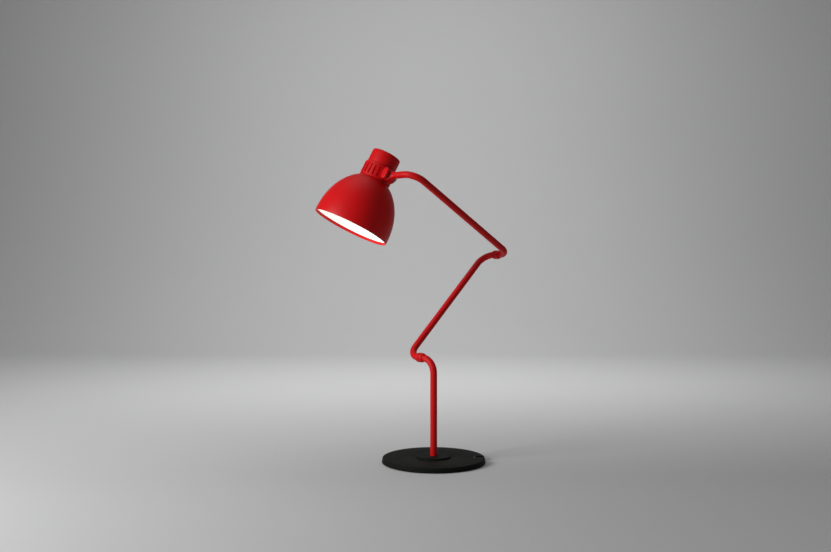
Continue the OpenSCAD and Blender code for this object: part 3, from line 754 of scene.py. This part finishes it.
ring_mesh = turned(soft_line([
    (RING_BORE, RING_FOOT, 0), (RING_RADIUS, RING_FOOT, 0.8), (RING_RADIUS, RING_TOP - 3, 0.5),
    (RING_LIP, RING_TOP, 0.4), (RING_BORE, RING_TOP, 0),
]), "ring_blank", count=144)
for sign in (-1, 1):
    inner, outer = sign * CHEEK_INNER, sign * CHEEK_OUTER
    ease = 0.5 * sign
    cheek = lofted([oval(CHEEK_WIDTH, CHEEK_LENGTH, inset, across) for inset, across in
                    ((0, inner), (0, outer - ease), (0.5, outer))], "cheek")
    root = block((RING_BORE + 0.6, min(inner, outer - ease), PIN_UP - ROOT_HALF),
                 (RING_BORE + 6, max(inner, outer - ease), PIN_UP + ROOT_HALF), "root")
    ring_mesh = combined(combined(ring_mesh, root, "UNION"), cheek, "UNION")
window = block((PIN_ACROSS - 18, -CHEEK_INNER, PIN_UP - EYE_RADIUS - EYE_GAP),
               (PIN_ACROSS - 5, CHEEK_INNER, PIN_UP + EYE_RADIUS + EYE_GAP), "window")
bore = turned([(0, -20), (PIN_BORE, -20), (PIN_BORE, 20), (0, 20)], "bore",
              Matrix.Translation(Vector((PIN_ACROSS, 0, PIN_UP)) * MM) @ TO_PLUS_Y, 32)
ring_mesh = combined(combined(ring_mesh, window, "DIFFERENCE"), bore, "DIFFERENCE")
ring_mesh.transform(Matrix.Translation((0, 0, -GROOVE_MIDDLE * MM)))
ring_mesh = grown(groove_tree, ring_mesh, Finish=FINISHES["red_paint"])
ring_mesh = edges_eased(placed(ring_mesh, "ring_cut"), 0.3)
ring_up = Matrix.Translation((0, 0, GROOVE_MIDDLE * MM))
ring_mesh = placed(ring_mesh, "grooved_ring", head_place @ ring_up)
piece("grooved_ring", ring_mesh, "head", "red_paint", "head_ring")

# %% [markdown]
# ### Cheek cover and cap
# The oval cover hides the pin's head and the lead, and is moulded with a soft crown. The cap closes
# the top: a pressed cup with a rolled edge, sitting in a rebate of the ring.

# %% Cover and cap
COVER_FACE = 16.25
CAP_RADIUS = 30.8
CAP_TOP = 169.0
CAP_INNER = 28.6
CAP_SHEET = 1.6
REBATE_RADIUS = 30.0
REBATE_DEPTH = 2.0
CAP_GAP = 0.15

cover_mesh = lofted([oval(CHEEK_WIDTH, CHEEK_LENGTH, inset, -across) for inset, across in
                     ((0.2, CHEEK_OUTER), (0, CHEEK_OUTER + 0.3), (0, COVER_FACE - 1.5),
                      (0.3, COVER_FACE - 0.7),
                      (1.0, COVER_FACE - 0.2), (2.2, COVER_FACE))], "cover", head_place)
piece("oval_cover", cover_mesh, "head", "red_paint", "cheek_cover")

cap_line = soft_line([
    (0, CAP_TOP, 0), (CAP_RADIUS, CAP_TOP, 3.2), (CAP_RADIUS, RING_TOP + CAP_GAP, 0.4),
    (REBATE_RADIUS, RING_TOP + CAP_GAP, 0), (REBATE_RADIUS, RING_TOP - REBATE_DEPTH, 0),
    (CAP_INNER, RING_TOP - REBATE_DEPTH, 0), (CAP_INNER, CAP_TOP - CAP_SHEET, 1.2),
    (0, CAP_TOP - CAP_SHEET, 0),
])
piece("pressed_cap", turned(cap_line, "pressed_cap", head_place, 112), "head", "red_paint", "top_cap")

# %% [markdown]
# ## Knuckle
# The knuckle is cast in one with its foot: a round foot as wide as the tube swells into a flat eye
# between the cheeks. Casting rounds every inside corner, so the parts are remeshed into one skin
# and smoothed, as a pattern maker fillets a pattern with wax.

# %% Knuckle
EYE_HALF = 7.0
FOOT_BACK = -21.7
SPIGOT_BACK = -38.2
SPIGOT_RADIUS = 4.0


def rounded_section(back, half_x, half_z, power, count=40):
    """A closed section across the tube end, from a circle (power 2) to a rounded square."""
    points = []
    for k in range(count):
        c, s = math.cos(math.tau * k / count), math.sin(math.tau * k / count)
        points.append((half_x * math.copysign(abs(c) ** (2 / power), c), back,
                       half_z * math.copysign(abs(s) ** (2 / power), s)))
    return points


neck_mesh = lofted([rounded_section(*values) for values in (
    (FOOT_BACK, TUBE_RADIUS, TUBE_RADIUS, 2), (FOOT_BACK + 3, TUBE_RADIUS, TUBE_RADIUS, 2),
    (-14, TUBE_RADIUS, 7.8, 2.2), (-9, 6.9, 9.8, 2.8), (-4, 6.9, 11.8, 3.5), (2, 6.8, 11.8, 4))], "neck")
eye_mesh = turned(soft_line([(0, -EYE_HALF, 0), (EYE_RADIUS, -EYE_HALF, 0.9), (EYE_RADIUS, EYE_HALF, 0.9),
                             (0, EYE_HALF, 0)]), "eye", Matrix.Rotation(math.radians(90), 4, "Y"), 64)
spigot_mesh = turned([(0, SPIGOT_BACK), (SPIGOT_RADIUS, SPIGOT_BACK), (SPIGOT_RADIUS, FOOT_BACK + 2),
                      (0, FOOT_BACK + 2)], "spigot", TO_PLUS_Y, 40)
knuckle_mesh = combined(combined(neck_mesh, eye_mesh, "UNION"), spigot_mesh, "UNION")


def add_wax(thing):
    """Remeshes a scratch object into one even skin and smooths it."""
    skin = thing.modifiers.new("skin", "REMESH")
    skin.mode = "VOXEL"
    skin.voxel_size = 0.55 * MM
    wax = thing.modifiers.new("wax", "SMOOTH")
    wax.factor = 0.5
    wax.iterations = 6


knuckle_mesh = result_of(knuckle_mesh, add_wax)
piece("cast_knuckle", placed(knuckle_mesh, "cast_knuckle", knuckle_place), "knuckle", "red_paint", "knuckle")

# %% [markdown]
# ## Bulb
# A frosted globe runs down into its neck on one smooth line, standing mouth up in the holder. It is
# turned from a formula: a circle up to 30 degrees above its middle, then half a cosine.

# %% Bulb
GLOBE_RADIUS = 30.0
GLOBE_UP = 55.0
BULB_NECK = 13.0
SHOULDER_UP = 99.0
BULB_FOOT = 111.0

globe_line = [(GLOBE_RADIUS * math.cos(math.radians(a)), GLOBE_UP + GLOBE_RADIUS * math.sin(math.radians(a)))
              for a in range(-90, 31, 5)]
globe_line[0] = (0, GLOBE_UP - GLOBE_RADIUS)
wide, low = globe_line[-1]
for i in range(1, 17):
    share = i / 16
    fall = (1 - math.cos(math.pi * share)) / 2
    globe_line.append((wide + (BULB_NECK - wide) * fall, low + (SHOULDER_UP - low) * share))
globe_line += [(BULB_NECK, BULB_FOOT), (0, BULB_FOOT)]
globe_mesh = turned(globe_line, "frosted_globe", head_place, 72)
piece("frosted_globe", globe_mesh, "head", "bulb_glass", "bulb_glass")
